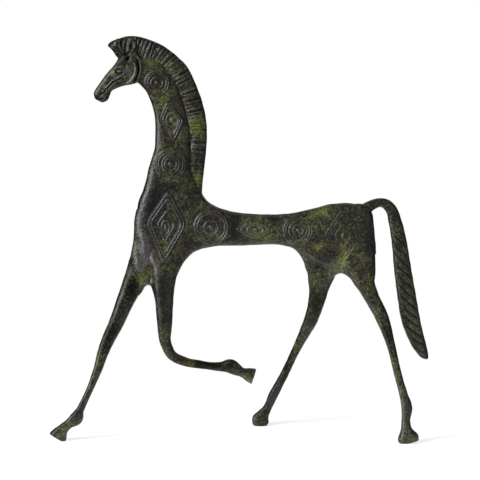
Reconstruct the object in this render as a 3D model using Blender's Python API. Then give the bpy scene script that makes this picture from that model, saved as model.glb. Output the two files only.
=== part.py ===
"""A bronze horse in the geometric manner, 25 cm tall: one flat casting that strides on three hooves.

The head points to -X, +Z is up, and the near side faces -Y. The origin is on the ground, at the
middle of the horse's length and depth. Sizes are in millimetres and become metres in `to_mesh`.
"""

import math

import bmesh
import bpy
import numpy as np
from mathutils import Vector
from mathutils.bvhtree import BVHTree

MM = 0.001

# The plate that the body is cast as
PLATE_Y = -4.7  # the plate's middle lies this far towards the near side of the three hooves' middle
NECK_DEPTH = 5.0  # half of the plate's depth, up the neck
TRUNK_DEPTH = 6.5  # the same, along the back

# A cross-section is an oval of a given power: 2 is an ellipse, and 4 is a slab with rounded edges.
SLAB = 3.2
HEAD_POWER = 2.6
LEG_POWER = 2.2
STRAP = 2.4
SLAB_SIDES = 12
HEAD_SIDES = 10
LEG_SIDES = 8
STRAP_SIDES = 6
WEB_SIDES = 6

# Limbs are lofts through stations of (x, y, z, half width, half depth). The width lies in the XZ plane,
# square to the limb, and y is measured from the middle of the plate.
NECK = (
    (-62.6, 0, 231.9, 8.1, 4.2),
    (-57.8, 0, 229.9, 8.9, 4.5),
    (-51.2, 0, 223.8, 9.1, NECK_DEPTH),
    (-46.4, 0, 214.2, 9.2, NECK_DEPTH),
    (-43.5, 0, 204.0, 9.5, NECK_DEPTH),
    (-42.0, 0, 193.0, 10.5, 5.4),
    (-42.0, 0, 181.0, 11.2, 5.8),
    (-43.6, 0, 167.5, 13.7, 6.2),
    (-43.0, 0, 155.0, 18.2, TRUNK_DEPTH),
    (-42.9, 0, 148.7, 20.6, TRUNK_DEPTH),
    (-42.8, 0, 142.5, 21.8, TRUNK_DEPTH),
    (-46.2, 0, 130.0, 21.0, TRUNK_DEPTH),
    (-50.7, 0, 118.5, 17.3, 6.2),
    (-55.2, 0, 107.7, 14.4, 5.8),
    (-58.5, 0, 98.6, 9.5, 5.2),
)
TRUNK = (
    (-33.0, 0, 131.0, 11.0, 6.0),
    (-22.8, 0, 133.9, 14.2, TRUNK_DEPTH),
    (-13.5, 0, 132.9, 11.6, TRUNK_DEPTH),
    (0.7, 0, 131.8, 10.2, TRUNK_DEPTH),
    (15.7, 0, 131.7, 9.4, TRUNK_DEPTH),
    (29.0, 0, 131.6, 9.9, TRUNK_DEPTH),
    (41.0, 0, 130.4, 13.8, TRUNK_DEPTH),
    (53.0, 0, 128.6, 19.0, 6.8),
    (63.8, 0, 127.3, 21.0, 7.0),
    (73.5, 0, 127.5, 20.4, 6.6),
    (80.0, 0, 128.7, 18.6, 5.2),
    (84.0, 0, 129.1, 12.4, 3.0),
)
HEAD = (
    (-60.8, 0, 238.0, 11.6, 4.4),
    (-69.8, 0, 230.1, 9.3, 5.0),
    (-74.4, 0, 227.2, 7.1, 4.7),
    (-79.4, 0, 223.7, 5.4, 4.1),
    (-83.0, 0, 220.2, 4.4, 3.6),
    (-84.8, 0, 217.0, 4.8, 3.5),
    (-86.3, 0, 213.9, 4.6, 3.3),
    (-87.4, 0, 211.8, 2.6, 2.0),
)
NEAR_HIND_LEG = (
    (69.5, 0.4, 126.0, 11.4, 5.6),
    (73.0, -3.0, 113.5, 12.0, 6.2),
    (76.6, -4.0, 104.2, 8.4, 5.7),
    (78.3, -5.0, 98.2, 6.0, 5.2),
    (81.4, -6.0, 91.4, 4.9, 4.7),
    (88.3, -9.0, 77.8, 4.2, 4.0),
    (94.2, -12.5, 59.7, 2.65, 2.9),
    (98.0, -15.0, 43.5, 2.45, 2.5),
    (101.9, -16.5, 29.5, 2.8, 2.7),
    (103.8, -17.0, 22.1, 3.45, 3.0),
    (103.2, -17.8, 13.5, 2.8, 2.9),
    (103.7, -18.2, 8.0, 3.9, 3.3),
    (104.7, -18.5, 3.4, 6.7, 4.0),
    (105.4, -18.5, 0.4, 6.2, 3.9),
)
FAR_HIND_LEG = (
    (54.0, -0.4, 122.0, 12.4, 5.6),
    (51.0, 3.0, 112.5, 11.2, 5.8),
    (51.4, 4.0, 104.0, 9.1, 5.6),
    (50.4, 5.5, 97.0, 7.0, 5.2),
    (47.7, 9.0, 81.6, 4.9, 4.6),
    (44.7, 11.5, 71.6, 4.3, 4.2),
    (40.2, 14.0, 61.6, 3.3, 3.5),
    (35.7, 17.0, 51.6, 2.65, 2.9),
    (28.7, 21.0, 35.5, 2.6, 2.6),
    (21.6, 25.0, 20.6, 3.1, 2.8),
    (16.9, 27.4, 10.0, 3.1, 3.0),
    (15.1, 27.8, 7.2, 4.0, 3.4),
    (13.5, 28.0, 3.8, 5.7, 3.9),
    (12.8, 28.0, -0.5, 4.6, 3.6),
)
RAISED_FORELEG = (
    (-46.0, 0.6, 134.0, 10.0, 5.2),
    (-45.9, -2.5, 115.0, 11.6, 6.4),
    (-46.8, -3.5, 107.5, 8.8, 6.0),
    (-47.5, -4.5, 97.4, 6.9, 5.4),
    (-47.3, -5.0, 85.5, 5.6, 4.8),
    (-47.1, -5.5, 73.4, 4.8, 4.3),
    (-46.5, -6.0, 61.0, 3.5, 3.6),
    (-42.9, -6.0, 53.3, 3.1, 3.3),
    (-34.0, -6.0, 48.8, 2.8, 3.0),
    (-25.0, -6.0, 47.1, 2.55, 2.6),
    (-17.0, -6.5, 46.1, 2.5, 2.6),
    (-11.2, -6.5, 45.9, 3.2, 2.9),
    (-5.9, -7.0, 46.1, 4.5, 3.2),
    (-1.8, -7.0, 43.9, 3.8, 2.9),
    (1.3, -7.0, 42.0, 3.2, 2.8),
    (5.0, -7.0, 40.6, 4.4, 3.4),
    (8.9, -7.0, 38.7, 5.0, 3.8),
)
FORWARD_FORELEG = (
    (-54.6, 0.4, 130.0, 8.6, 5.0),
    (-60.5, 1.0, 112.5, 8.6, 5.4),
    (-64.0, 1.0, 104.0, 7.7, 5.2),
    (-71.5, 0.0, 87.6, 5.7, 4.6),
    (-77.8, -1.5, 72.5, 4.7, 4.1),
    (-84.3, -3.5, 58.9, 3.9, 3.6),
    (-90.0, -6.5, 41.9, 2.7, 2.8),
    (-97.7, -9.5, 24.1, 2.3, 2.4),
    (-100.4, -10.5, 18.7, 2.7, 2.6),
    (-102.5, -11.5, 14.1, 4.3, 2.9),
    (-107.6, -12.0, 10.2, 3.0, 2.8),
    (-110.9, -12.5, 7.1, 3.6, 3.2),
    (-113.4, -12.8, 3.4, 5.4, 3.6),
    (-114.3, -12.8, 1.8, 5.9, 3.8),
)
TAIL = (
    (77.5, 0, 144.0, 3.8, 3.4),
    (83.6, 0, 147.6, 3.0, 3.4),
    (87.2, 0, 148.6, 2.75, 3.0),
    (91.2, 0, 147.5, 3.2, 3.0),
    (94.0, 0, 144.6, 3.5, 3.0),
    (96.7, 0, 137.0, 4.1, 3.1),
    (99.4, 0, 124.4, 4.7, 3.3),
    (101.9, 0, 106.5, 5.4, 3.4),
    (105.0, 0, 87.4, 5.9, 3.4),
    (107.4, 0, 74.5, 5.9, 3.2),
    (110.2, 0, 65.3, 5.2, 2.9),
    (113.9, 0, 56.4, 4.0, 2.4),
    (116.8, 0, 51.3, 2.3, 1.8),
    (118.4, 0, 49.6, 0.7, 0.8),
)
# Fillets where limbs meet. The outer edge of each follows the curve of the skin between them.
BELLY_WEB = (
    (-45.8, -4.2, 89.3, 3.6, 5.0),
    (-45.9, -3.8, 96.5, 5.0, 5.1),
    (-44.8, -3.4, 102.4, 5.0, 5.3),
    (-42.8, -3.0, 107.3, 5.0, 5.4),
    (-39.8, -2.6, 113.2, 5.0, 5.5),
    (-36.1, -1.4, 117.7, 5.0, 5.0),
    (-31.8, -0.9, 121.5, 5.0, 5.2),
    (-26.6, -0.5, 124.0, 5.0, 5.4),
    (-20.9, -0.3, 125.4, 5.0, 5.6),
    (-14.4, -0.2, 126.4, 5.0, 5.7),
    (-6.1, 0.0, 126.3, 3.8, 5.9),
)
SHOULDER_WEB = (
    (-27.4, 0.0, 166.0, 2.6, 3.0),
    (-27.4, 0.0, 157.8, 3.6, 3.9),
    (-27.2, 0.0, 152.5, 4.0, 4.8),
    (-25.2, 0.0, 149.0, 4.0, 5.3),
    (-22.6, 0.0, 146.2, 4.0, 5.5),
    (-19.0, 0.0, 143.6, 4.0, 5.7),
    (-14.5, 0.0, 141.5, 4.0, 5.9),
    (-8.9, 0.0, 139.7, 4.0, 6.1),
    (-1.6, 0.0, 138.4, 3.2, 6.3),
)
FLANK_WEB = (
    (22.2, 0.0, 126.4, 3.8, 5.9),
    (28.6, 0.2, 126.4, 5.0, 5.7),
    (34.0, 0.6, 125.0, 5.0, 5.5),
    (38.7, 1.1, 121.8, 5.0, 5.3),
    (42.2, 1.8, 117.3, 5.0, 5.2),
    (44.6, 2.6, 112.4, 5.0, 5.3),
    (46.4, 3.4, 107.7, 5.0, 5.7),
    (47.6, 3.9, 102.3, 5.0, 5.6),
    (48.2, 4.5, 96.1, 5.0, 5.5),
    (47.6, 5.0, 90.2, 3.8, 5.4),
)
CROTCH_WEB = (
    (50.5, 5.5, 88.6, 2.4, 4.8),
    (52.6, 4.3, 94.2, 3.2, 4.8),
    (53.6, 3.1, 99.8, 4.0, 4.8),
    (56.0, 1.9, 104.2, 4.0, 4.8),
    (59.7, 0.7, 107.2, 4.0, 4.8),
    (64.4, -0.4, 108.0, 4.0, 4.8),
    (68.5, -1.6, 106.4, 4.0, 4.8),
    (71.9, -2.8, 103.6, 4.0, 4.8),
    (74.1, -4.0, 99.1, 3.2, 4.8),
    (77.5, -5.2, 93.4, 2.4, 4.8),
)
CHEST_WEB = (
    (-65.8, -0.2, 90.2, 2.0, 4.2),
    (-63.5, -0.4, 93.8, 2.6, 4.2),
    (-61.8, -0.7, 97.5, 3.0, 4.2),
    (-58.3, -1.2, 99.8, 3.0, 4.2),
    (-53.6, -2.2, 98.5, 3.0, 4.4),
    (-52.2, -3.0, 94.3, 2.6, 4.6),
    (-51.5, -4.0, 89.7, 2.0, 4.7),
)
# The crest lies between two edges: x and z of its inner edge, the same of its outer edge, half depth
MANE = (
    (-81.6, 245.6, -81.5, 246.0, 0.6),
    (-80.4, 244.4, -80.2, 247.6, 1.8),
    (-78.9, 243.0, -78.6, 248.6, 2.6),
    (-77.5, 241.1, -76.3, 249.4, 3.1),
    (-75.8, 238.6, -73.4, 250.4, 3.4),
    (-71.5, 237.6, -69.9, 251.4, 3.4),
    (-66.0, 238.2, -66.3, 251.6, 3.4),
    (-61.2, 237.6, -61.0, 251.0, 3.4),
    (-56.4, 236.0, -55.4, 249.1, 3.4),
    (-52.2, 233.8, -49.1, 246.6, 3.4),
    (-48.6, 231.2, -43.0, 242.7, 3.4),
    (-45.2, 227.4, -37.6, 238.2, 3.4),
    (-42.2, 223.4, -32.8, 233.2, 3.4),
    (-39.6, 218.9, -29.2, 226.6, 3.4),
    (-37.4, 213.4, -25.8, 218.4, 3.4),
    (-35.4, 207.4, -23.3, 211.2, 3.4),
    (-33.8, 201.8, -21.5, 203.9, 3.4),
    (-32.5, 195.6, -20.6, 196.4, 3.4),
    (-31.9, 187.4, -20.5, 187.6, 3.4),
    (-31.8, 178.3, -21.2, 178.2, 3.4),
    (-31.9, 169.1, -22.3, 168.9, 3.4),
    (-31.6, 160.3, -23.3, 160.1, 3.2),
    (-29.6, 154.5, -23.6, 154.4, 2.8),
)
MANE_STROKE = 3.8  # one lock and the groove after it, along the crest
MANE_GROOVE = 0.8  # how deep the groove is cut on each side
MANE_LEAST = 0.6  # the crest's least half depth
EAR = (  # of the near side
    (-66.6, -3.4, 241.0, 1.7, 1.0),
    (-66.5, -3.7, 244.0, 2.1, 1.1),
    (-66.3, -3.9, 246.8, 1.6, 0.9),
    (-66.2, -4.0, 249.8, 0.3, 0.4),
)
LIMBS = (  # name, stations, rows from one station to the next, corners of a section, its power
    ("trunk", TRUNK, 1, SLAB_SIDES, SLAB),
    ("head", HEAD, 2, HEAD_SIDES, HEAD_POWER),
    ("near_hind_leg", NEAR_HIND_LEG, 1, LEG_SIDES, LEG_POWER),
    ("far_hind_leg", FAR_HIND_LEG, 1, LEG_SIDES, LEG_POWER),
    ("raised_foreleg", RAISED_FORELEG, 2, LEG_SIDES, LEG_POWER),
    ("forward_foreleg", FORWARD_FORELEG, 1, LEG_SIDES, LEG_POWER),
    ("tail", TAIL, 1, STRAP_SIDES, STRAP),
    ("belly_web", BELLY_WEB, 1, WEB_SIDES, SLAB),
    ("shoulder_web", SHOULDER_WEB, 1, WEB_SIDES, SLAB),
    ("flank_web", FLANK_WEB, 1, WEB_SIDES, SLAB),
    ("crotch_web", CROTCH_WEB, 1, WEB_SIDES, LEG_POWER),
    ("chest_web", CHEST_WEB, 1, WEB_SIDES, LEG_POWER),
)

# Ornament is raised from both faces of the plate, as ovals of a given power: 2 is an ellipse, and a
# power near 1 is a lozenge. A line of ornament is a bar that keeps to the casting's surface.
BAND = 2.1  # width of the double line around each ornament
LINE = 0.8  # width of a single line
RAISED = 0.5  # height of a line over the surface
SUNK = 0.7  # how far a line's foot lies under the surface
ROUND = 2.0
LOZENGE = 1.12
BEVEL = 0.1  # how far a line's top edge stands in from its foot, as a share of its width
ROUND_POINTS = 16  # corners of a round ornament's outline
LOZENGE_POINTS = 12
INNER_SHARE = 0.6  # corners of the inner line, as a share of the outline's
# x, z, lean in degrees, power, half width, half height, inner half width, inner half height
ORNAMENTS = (
    (-50.8, 222.9, 0, ROUND, 7.2, 7.2, 3.7, 3.7),
    (-42.8, 199.6, 12, LOZENGE, 7.3, 11.8, 3.6, 4.2),
    (-42.5, 172.8, 0, ROUND, 9.0, 9.0, 4.6, 4.6),
    (-45.9, 134.1, -4, LOZENGE, 11.8, 21.8, 5.3, 9.6),
    (-17.6, 133.7, 0, ROUND, 10.2, 10.2, 4.5, 4.5),
    (9.8, 132.3, 0, LOZENGE, 11.4, 5.9, 5.0, 3.0),
    (36.1, 132.0, 0, ROUND, 8.7, 8.7, 3.7, 3.7),
    (64.0, 128.3, 0, LOZENGE, 11.0, 16.4, 4.8, 7.6),
)
BOSS = 1.2  # radius of the knob in the middle of an ornament
KNOB_POINTS = 6
NEAR = -1
FAR = 1

# Face
EYE = (-73.4, 230.1)
EYE_HALF = (2.8, 2.1)
BROW = ((-68.0, 241.0), (-70.6, 238.7), (-73.4, 236.2), (-74.8, 234.4))
FACE_LINE = 1.2
CHEEK = ((-63.8, 233.0), (-64.2, 229.6), (-65.4, 226.8), (-67.5, 224.5))

# Tail
TAIL_STROKE = 7.4  # between one slanting rib and the next
TAIL_FIRST = 130.0  # height of the topmost rib
TAIL_RIBS = 10
TAIL_RIB = 1.6  # width of a rib
TAIL_RIB_REACH = 0.62  # where a rib ends, as a share of the tail's half width
TAIL_SLANT = 0.85  # how far a rib falls over each millimetre towards the tail's outer edge

GROUND_BLOCK = (400.0, 200.0, 20.0)  # the cutter under the hooves
SHARP_EDGE = 35  # degrees


def clear_scene():
    for obj in list(bpy.data.objects):
        bpy.data.objects.remove(obj, do_unlink=True)


def collection(name):
    made = bpy.data.collections.new(name)
    bpy.context.scene.collection.children.link(made)
    return made


def bronze():
    material = bpy.data.materials.new("dark_bronze")
    material.use_nodes = True
    shader = material.node_tree.nodes["Principled BSDF"]
    shader.inputs["Base Color"].default_value = (0.030, 0.034, 0.018, 1.0)
    shader.inputs["Metallic"].default_value = 0.7
    shader.inputs["Roughness"].default_value = 0.42
    return material


def to_mesh(name, points, faces, home):
    """An object from points in millimetres, with its faces turned outwards."""
    body = bmesh.new()
    corners = [body.verts.new(Vector(point) * MM) for point in points]
    for face in faces:
        body.faces.new([corners[i] for i in face])
    bmesh.ops.recalc_face_normals(body, faces=body.faces)
    if body.calc_volume(signed=True) < 0:
        bmesh.ops.reverse_faces(body, faces=body.faces)
    mesh = bpy.data.meshes.new(name)
    body.to_mesh(mesh)
    body.free()
    made = bpy.data.objects.new(name, mesh)
    home.objects.link(made)
    return made


def smooth(stations, steps, axes=3):
    """Rows on a smooth curve through the stations, with `steps` rows from each station to the next.

    Distance along the curve is taken in the first `axes` columns.
    """
    rows = np.array(stations, dtype=float)
    reach = np.linalg.norm(np.diff(rows[:, :axes], axis=0), axis=1)
    at = np.concatenate([[0.0], np.cumsum(reach)])
    slope = np.gradient(rows, at, axis=0)
    wanted = [np.linspace(a, b, steps, endpoint=False) for a, b in zip(at[:-1], at[1:])]
    wanted = np.concatenate(wanted + [at[-1:]])
    span = np.clip(np.searchsorted(at, wanted, side="right") - 1, 0, len(at) - 2)
    gap = reach[span][:, None]
    t = (wanted - at[span])[:, None] / gap
    start, end = rows[span], rows[span + 1]
    leave, arrive = slope[span] * gap, slope[span + 1] * gap
    bend = (2 * t**3 - 3 * t**2 + 1) * start + (t**3 - 2 * t**2 + t) * leave
    return bend + (3 * t**2 - 2 * t**3) * end + (t**3 - t**2) * arrive


def oval(half_a, half_b, power, count):
    """`count` points around an oval: power 2 is an ellipse, 1 a lozenge, and 4 a rounded slab."""
    turn = np.arange(count) * 2 * math.pi / count
    cos, sin = np.cos(turn), np.sin(turn)
    a = half_a * np.sign(cos) * np.abs(cos) ** (2 / power)
    b = half_b * np.sign(sin) * np.abs(sin) ** (2 / power)
    return np.stack([a, b], axis=-1)


def loft(name, centres, across, depths, sides, power, home):
    """A closed skin of ovals: each reaches along its `across` in the XZ plane, and by its depth in Y."""
    points = []
    for (x, y, z), (ax, az), depth in zip(centres, across, depths):
        for a, b in oval(1.0, depth, power, sides):
            points.append((x + ax * a, y + PLATE_Y + b, z + az * a))
    faces = [tuple(range(sides)), tuple(range(len(points) - sides, len(points)))]
    for station in range(len(centres) - 1):
        for i in range(sides):
            here, beside = station * sides + i, station * sides + (i + 1) % sides
            faces.append((here, beside, beside + sides, here + sides))
    return to_mesh(name, points, faces, home)


def limb(name, rows, sides, power, home):
    """A limb through the rows of (x, y, z, half width, half depth), square to its path."""
    along = np.gradient(rows[:, [0, 2]], axis=0)
    along /= np.linalg.norm(along, axis=1, keepdims=True)
    across = np.stack([-along[:, 1], along[:, 0]], axis=-1) * rows[:, 3:4]
    return loft(name, rows[:, :3], across, rows[:, 4], sides, power, home)


def fluted_mane(home):
    """The crest, whose depth steps in and out so that each lock stands between two grooves."""
    curve = smooth(MANE, 6, axes=4)
    middle = (curve[:, 0:2] + curve[:, 2:4]) / 2
    at = np.concatenate([[0.0], np.cumsum(np.linalg.norm(np.diff(middle, axis=0), axis=1))])
    strokes = int(at[-1] / MANE_STROKE)
    wanted = np.linspace(0.0, at[-1], 2 * strokes + 1)
    rows = np.stack([np.interp(wanted, at, column) for column in curve.T], axis=-1)
    rows[1:-1:2, 4] = np.maximum(rows[1:-1:2, 4] - MANE_GROOVE, MANE_LEAST)
    inner, outer = rows[:, 0:2], rows[:, 2:4]
    centres = np.insert((inner + outer) / 2, 1, 0.0, axis=1)
    return loft("mane", centres, (outer - inner) / 2, rows[:, 4], STRAP_SIDES, STRAP, home)


def settle(obj):
    """Puts the result of the object's modifiers in its own mesh."""
    graph = bpy.context.evaluated_depsgraph_get()
    mesh = bpy.data.meshes.new_from_object(obj.evaluated_get(graph))
    obj.modifiers.clear()
    obj.data = mesh


def combine(base, pieces, operation):
    for piece in pieces:
        boolean = base.modifiers.new(piece.name, "BOOLEAN")
        boolean.operation = operation
        boolean.solver = "EXACT"
        boolean.object = piece
    settle(base)
    for piece in pieces:
        bpy.data.objects.remove(piece, do_unlink=True)


def surface_finder(obj, side):
    """A function from (x, z) to the y of the casting's face on that side, in millimetres."""
    tree = BVHTree.FromObject(obj, bpy.context.evaluated_depsgraph_get())
    outside = side * 100.0

    def find(x, z):
        place = tree.ray_cast(Vector((x, outside, z)) * MM, Vector((0, -side, 0)))[0]
        return PLATE_Y if place is None else place.y / MM

    return find


def bar(name, left, right, closed, face, side, home):
    """A raised bar between two edges of (x, z) points, which follows the casting's face."""
    points = []
    for one, other in zip(left, right):
        for share, top in ((0.0, False), (BEVEL, True), (1.0 - BEVEL, True), (1.0, False)):
            x, z = one * (1.0 - share) + other * share
            points.append((x, face(x, z) + side * (RAISED if top else -SUNK), z))
    faces = []
    count = len(left)
    for here in range(count if closed else count - 1):
        after = (here + 1) % count
        for i in range(4):
            j = (i + 1) % 4
            faces.append((here * 4 + i, here * 4 + j, after * 4 + j, after * 4 + i))
    if not closed:
        faces += [(0, 1, 2, 3), tuple(range(count * 4 - 4, count * 4))]
    return to_mesh(name, points, faces, home)


def line(name, path, width, face, side, home):
    """A raised bar of one width along an open path of (x, z)."""
    path = np.asarray(path, dtype=float)
    along = np.gradient(path, axis=0)
    along /= np.linalg.norm(along, axis=1, keepdims=True)
    across = np.stack([-along[:, 1], along[:, 0]], axis=-1) * width / 2
    return bar(name, path - across, path + across, False, face, side, home)


def ring(name, place, half_a, half_b, power, width, count, face, side, home):
    """A raised closed band whose outer edge is an oval, at a place of (x, z, lean)."""
    if power == ROUND:
        inner_a, inner_b = half_a - width, half_b - width
    else:
        shrink = 1.0 - width * math.hypot(half_a, half_b) / (half_a * half_b)
        inner_a, inner_b = half_a * shrink, half_b * shrink
    outer = placed(oval(half_a, half_b, power, count), *place)
    inner = placed(oval(inner_a, inner_b, power, count), *place)
    return bar(name, outer, inner, True, face, side, home)


def knob(name, x, z, half_a, half_b, face, side, home):
    """A low boss with a bevelled edge."""
    points, count = [], KNOB_POINTS
    for scale, lift in ((1.0, -SUNK), (1.0, 0.3 * RAISED), (0.6, 1.2 * RAISED)):
        for a, b in oval(half_a * scale, half_b * scale, ROUND, count):
            points.append((x + a, face(x, z) + side * lift, z + b))
    faces = [tuple(range(count)), tuple(range(2 * count, 3 * count))]
    for level in range(2):
        for i in range(count):
            low, next_low = level * count + i, level * count + (i + 1) % count
            faces.append((low, next_low, next_low + count, low + count))
    return to_mesh(name, points, faces, home)


def placed(path, x, z, lean):
    """The path moved to (x, z), with its top leaning towards the head by `lean` degrees."""
    turn = math.radians(lean)
    spin = np.array([[math.cos(turn), -math.sin(turn)], [math.sin(turn), math.cos(turn)]])
    return path @ spin.T + (x, z)


def ornaments(face, side, home):
    """Rings and lozenges. The far face has the outlines and knobs, without the inner lines."""
    made = []
    for x, z, lean, power, half_a, half_b, inner_a, inner_b in ORNAMENTS:
        place = (x, z, lean)
        count = ROUND_POINTS if power == ROUND else LOZENGE_POINTS
        band = (half_a, half_b, power, BAND, count)
        made.append(ring("band", place, *band, face, side, home))
        if side == NEAR:
            inner = (inner_a, inner_b, power, LINE, 2 * round(count * INNER_SHARE / 2))
            made.append(ring("inner_line", place, *inner, face, side, home))
        made.append(knob("knob", x, z, BOSS, BOSS, face, side, home))
    return made


def face_lines(face, side, home):
    """Eye, brow and cheek of one side of the head."""
    eye = knob("eye", *EYE, *EYE_HALF, face, side, home)
    brow = line("brow", BROW, FACE_LINE, face, side, home)
    cheek = line("cheek", CHEEK, FACE_LINE, face, side, home)
    return [eye, brow, cheek]


def tail_ribs(face, side, home):
    """Slanting ribs down the tail, each from its inner edge to its outer edge."""
    middle = smooth(TAIL, 4)[::-1]
    made = []
    for i in range(TAIL_RIBS):
        z = TAIL_FIRST - i * TAIL_STROKE
        x = np.interp(z, middle[:, 2], middle[:, 0])
        half = TAIL_RIB_REACH * np.interp(z, middle[:, 2], middle[:, 3])
        path = [(x + t * half, z - t * half * TAIL_SLANT) for t in (-1.0, 0.0, 1.0)]
        made.append(line("rib", path, TAIL_RIB, face, side, home))
    return made


def ground_cutter(home):
    """A block under the ground, which trims the hooves flat."""
    bpy.ops.mesh.primitive_cube_add(size=1.0)
    block = bpy.context.object
    block.name = "ground_cutter"
    block.scale = Vector(GROUND_BLOCK) * MM
    block.location = (0.0, 0.0, -GROUND_BLOCK[2] * MM / 2)
    block.hide_render = True
    block.display_type = "WIRE"
    for owner in list(block.users_collection):
        owner.objects.unlink(block)
    home.objects.link(block)
    return block


def build_horse():
    parts = collection("geometric_bronze_horse")
    cutters = collection("cutters")
    horse = limb("horse", smooth(NECK, 2), SLAB_SIDES, SLAB, parts)
    limbs = [limb(name, smooth(rows, steps), *form, cutters) for name, rows, steps, *form in LIMBS]
    limbs.append(fluted_mane(cutters))
    combine(horse, limbs, "UNION")

    near_face = surface_finder(horse, NEAR)
    far_face = surface_finder(horse, FAR)
    relief = []
    for face, side in ((near_face, NEAR), (far_face, FAR)):
        relief += ornaments(face, side, cutters)
        relief += face_lines(face, side, cutters)
        relief += tail_ribs(face, side, cutters)
        ear = np.array(EAR) * (1, -side, 1, 1, 1)
        relief.append(limb("ear", ear, STRAP_SIDES, ROUND, cutters))
    combine(horse, relief, "UNION")
    combine(horse, [ground_cutter(cutters)], "DIFFERENCE")
    horse.data.materials.clear()
    horse.data.materials.append(bronze())
    horse.data.shade_smooth()
    horse.data.set_sharp_from_angle(angle=math.radians(SHARP_EDGE))
    return horse


def main():
    clear_scene()
    build_horse()


main()
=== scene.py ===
"""The looks of a geometric bronze horse, 25 cm tall: one flat casting with rings and lozenges in relief.

The file is laid out as an add-on and is run as a script. The head points to -X, +Z is up, and the near
side faces -Y. The tables are in millimetres, and each mesh is made in metres.
"""
import math

import bpy
import numpy as np
from bpy.props import FloatProperty, FloatVectorProperty, IntProperty, PointerProperty
from bpy.types import Operator, Panel, PropertyGroup
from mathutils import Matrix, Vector


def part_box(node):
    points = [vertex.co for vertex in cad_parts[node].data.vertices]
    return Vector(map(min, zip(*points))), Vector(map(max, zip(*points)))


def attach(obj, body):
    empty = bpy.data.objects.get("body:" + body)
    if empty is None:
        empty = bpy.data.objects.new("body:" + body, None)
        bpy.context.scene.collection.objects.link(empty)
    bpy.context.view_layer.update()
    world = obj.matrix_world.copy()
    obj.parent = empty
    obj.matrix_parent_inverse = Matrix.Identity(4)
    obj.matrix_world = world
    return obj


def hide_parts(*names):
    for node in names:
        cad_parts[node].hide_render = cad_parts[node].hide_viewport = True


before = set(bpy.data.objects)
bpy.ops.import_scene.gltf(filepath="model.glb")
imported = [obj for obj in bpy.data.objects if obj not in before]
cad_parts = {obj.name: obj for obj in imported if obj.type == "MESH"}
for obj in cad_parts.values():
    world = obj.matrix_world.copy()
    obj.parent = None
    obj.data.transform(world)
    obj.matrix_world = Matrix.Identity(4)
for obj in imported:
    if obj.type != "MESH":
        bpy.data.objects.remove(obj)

bl_info = {
    "name": "Geometric Bronze Horse",
    "version": (1, 0, 0),
    "blender": (4, 5, 0),
    "location": "View3D > Sidebar > Bronze Horse",
    "description": "A flat cast bronze horse with raised rings and lozenges, and its stage",
    "category": "Add Mesh",
}

MM = 0.001
HORSE_LOW, HORSE_HIGH = (np.array(corner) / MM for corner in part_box("horse"))
NEAR = -1
FAR = 1

# The plate that the body is cast as
PLATE_Y = -4.7  # the plate's middle, towards the near side of the three hooves' middle
NECK_DEPTH = 5.0  # half of the plate's depth, up the neck
TRUNK_DEPTH = 6.5  # the same, along the back

# Each limb is an oval carried along a path. Its stations are (x, y, z, half width, half depth): the width
# lies in the XZ plane, square to the path, and y is measured from the middle of the plate.
NECK = (
    (-62.6, 0, 231.9, 8.1, 4.2),
    (-57.8, 0, 229.9, 8.9, 4.5),
    (-51.2, 0, 223.8, 9.1, NECK_DEPTH),
    (-46.4, 0, 214.2, 9.2, NECK_DEPTH),
    (-43.5, 0, 204, 9.5, NECK_DEPTH),
    (-42, 0, 193, 10.5, 5.4),
    (-42, 0, 181, 11.2, 5.8),
    (-43.6, 0, 167.5, 13.7, 6.2),
    (-43, 0, 155, 18.2, TRUNK_DEPTH),
    (-42.9, 0, 148.7, 20.6, TRUNK_DEPTH),
    (-42.8, 0, 142.5, 21.8, TRUNK_DEPTH),
    (-46.2, 0, 130, 21, TRUNK_DEPTH),
    (-50.7, 0, 118.5, 17.3, 6.2),
    (-55.2, 0, 107.7, 14.4, 5.8),
    (-58.5, 0, 98.6, 9.5, 5.2),
)
TRUNK = (
    (-33, 0, 131, 11, 6),
    (-22.8, 0, 133.9, 14.2, TRUNK_DEPTH),
    (-13.5, 0, 132.9, 11.6, TRUNK_DEPTH),
    (0.7, 0, 131.8, 10.2, TRUNK_DEPTH),
    (15.7, 0, 131.7, 9.4, TRUNK_DEPTH),
    (29, 0, 131.6, 9.9, TRUNK_DEPTH),
    (41, 0, 130.4, 13.8, TRUNK_DEPTH),
    (53, 0, 128.6, 19, 6.8),
    (63.8, 0, 127.3, 21, 7),
    (73.5, 0, 127.5, 20.4, 6.6),
    (80, 0, 128.7, 18.6, 5.2),
    (84, 0, 129.1, 12.4, 3),
)
HEAD = (
    (-60.8, 0, 238, 11.6, 4.4),
    (-69.8, 0, 230.1, 9.3, 5),
    (-74.4, 0, 227.2, 7.1, 4.7),
    (-79.4, 0, 223.7, 5.4, 4.1),
    (-83, 0, 220.2, 4.4, 3.6),
    (-84.8, 0, 217, 4.8, 3.5),
    (-86.3, 0, 213.9, 4.6, 3.3),
    (-87.4, 0, 211.8, 2.6, 2),
)
NEAR_HIND_LEG = (
    (69.5, 0.2, 126, 11.4, 6.6),
    (73, -2.3, 113.5, 12, 5.7),
    (76.6, -4, 104.2, 8.4, 5.7),
    (78.3, -5, 98.2, 6, 5.2),
    (81.4, -6, 91.4, 4.9, 4.7),
    (88.3, -9, 77.8, 4.2, 4),
    (94.2, -12.5, 59.7, 2.65, 2.9),
    (98, -15, 43.5, 2.45, 2.5),
    (101.9, -16.5, 29.5, 2.8, 2.7),
    (103.8, -17, 22.1, 3.45, 3),
    (103.2, -17.8, 13.5, 2.8, 2.9),
    (103.7, -18.2, 8, 3.9, 3.3),
    (104.7, -18.5, 3.4, 6.7, 4),
    (105.4, -18.5, 0.4, 6.2, 3.9),
)
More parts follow.
